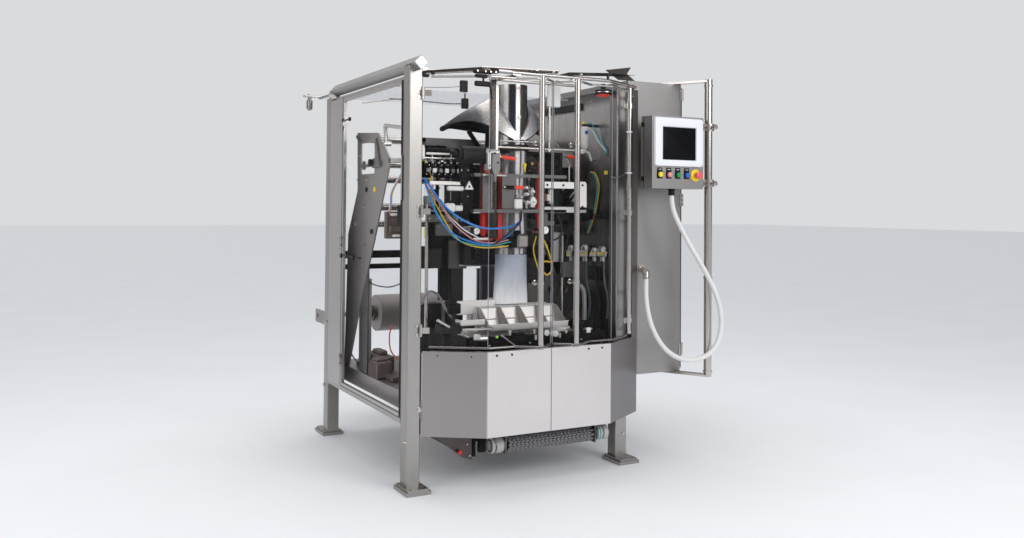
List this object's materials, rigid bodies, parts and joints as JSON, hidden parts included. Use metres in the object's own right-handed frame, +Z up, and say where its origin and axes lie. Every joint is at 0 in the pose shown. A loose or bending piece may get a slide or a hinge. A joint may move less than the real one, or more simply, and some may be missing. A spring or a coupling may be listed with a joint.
{
  "type": "vertical form fill seal machine",
  "caption": "Bagging machine on a square-tube frame: rear film unwind, roller cage, forming tube and collar, sealing jaws, clear hinged guards, cabinet and swivelling operator panel.",
  "frame": {"origin": "centre of the four-leg footprint on the floor, midway between the anchor holes", "axes": "+Z up, -Y towards the front guard doors, +X towards the electrical cabinet"},
  "size_m": [1.8507, 1.935, 2.1499],
  "materials": {
    "frame_steel": "brushed",
    "sheet_steel": "brushed",
    "bar_steel": "satin",
    "bright_bar": "polished",
    "clear_pane": "clear",
    "cabinet_paint": "brushed",
    "pale_plastic": "matt",
    "screen": "gloss",
    "button_plastic": "gloss",
    "stop_red": "gloss",
    "hose_plastic": "ribbed",
    "film": "gloss",
    "core_board": "matt",
    "belt_rubber": "matt",
    "bracket_red": "gloss",
    "black_steel": "satin",
    "belt_plastic": "matt"
  },
  "bodies": {
    "root": {"back_bars": "bar_steel", "bed": "sheet_steel", "cabinet_body": "cabinet_paint", "cabinet_door": "cabinet_paint", "cage_plates": "sheet_steel", "collar_support": "bar_steel", "conveyor_belt": "belt_plastic", "conveyor_frame": "bar_steel", "drip_tray": "sheet_steel", "drive_cover": "black_steel", "film_bag": "film", "film_rollers": "bright_bar", "forming_collar": "bright_bar", "forming_tube": "sheet_steel", "guard_hinge_rod": "bright_bar", "guard_hinges_left": "bright_bar", "guard_strip_right": "sheet_steel", "guard_top_rail": "bright_bar", "hanging_frame": "bar_steel", "hose_elbow": "bright_bar", "inner_wall": "sheet_steel", "jaw_base": "black_steel", "jaw_columns": "bar_steel", "jaw_cover_front": "bright_bar", "jaw_rods": "bright_bar", "leg_back_left": "frame_steel", "leg_back_right": "frame_steel", "leg_front_left": "frame_steel", "leg_front_right": "frame_steel", "panel_hose": "hose_plastic", "panel_post": "bright_bar", "pull_belts": "belt_rubber", "pull_brackets": "bracket_red", "roof_pane": "clear_pane", "roof_sheet": "black_steel", "seal_frame": "bar_steel", "sealing_jaws": "bar_steel", "side_rails": "frame_steel", "side_strip": "sheet_steel", "skirt_left": "sheet_steel", "skirt_right": "sheet_steel", "top_beam": "frame_steel", "tube_head": "bar_steel", "unwind_arms": "sheet_steel"},
    "side_door": {"side_door_frame": "bar_steel", "side_door_pane": "clear_pane"},
    "guard_door_left": {"guard_door_left_pane": "clear_pane", "guard_door_left_rods": "bright_bar"},
    "guard_door_right": {"guard_door_right_pane": "clear_pane", "guard_door_right_rods": "bright_bar"},
    "operator_panel": {"emergency_stop": "stop_red", "hose_gland": "bright_bar", "panel_bezel": "pale_plastic", "panel_box": "cabinet_paint", "panel_buttons": "button_plastic", "panel_clamps": "bright_bar", "panel_screen": "screen"},
    "film_roll": {"film_roll": "film", "roll_core": "core_board"}
  },
  "joints": [
    {"name": "side_door", "type": "hinge", "parent": "root", "child": "side_door", "pos_m": [-0.674, 0.345, 1.195], "axis": [0, 0, 1], "range_deg": [-120, 0]},
    {"name": "guard_door_left", "type": "hinge", "parent": "root", "child": "guard_door_left", "pos_m": [-0.597, -0.668, 1.38], "axis": [0, 0, 1], "range_deg": [-100, 0]},
    {"name": "guard_door_right", "type": "hinge", "parent": "root", "child": "guard_door_right", "pos_m": [0.627, -0.722, 1.38], "axis": [0, 0, 1], "range_deg": [0, 65]},
    {"name": "operator_panel", "type": "hinge", "parent": "root", "child": "operator_panel", "pos_m": [1.107, -0.82, 1.713], "axis": [0, 0, 1], "range_deg": [0, 90], "deforming": ["panel_hose"]},
    {"name": "film_roll", "type": "hinge", "parent": "root", "child": "film_roll", "pos_m": [0.048, 0.9, 0.695], "axis": [1, 0, 0], "continuous": true}
  ]
}
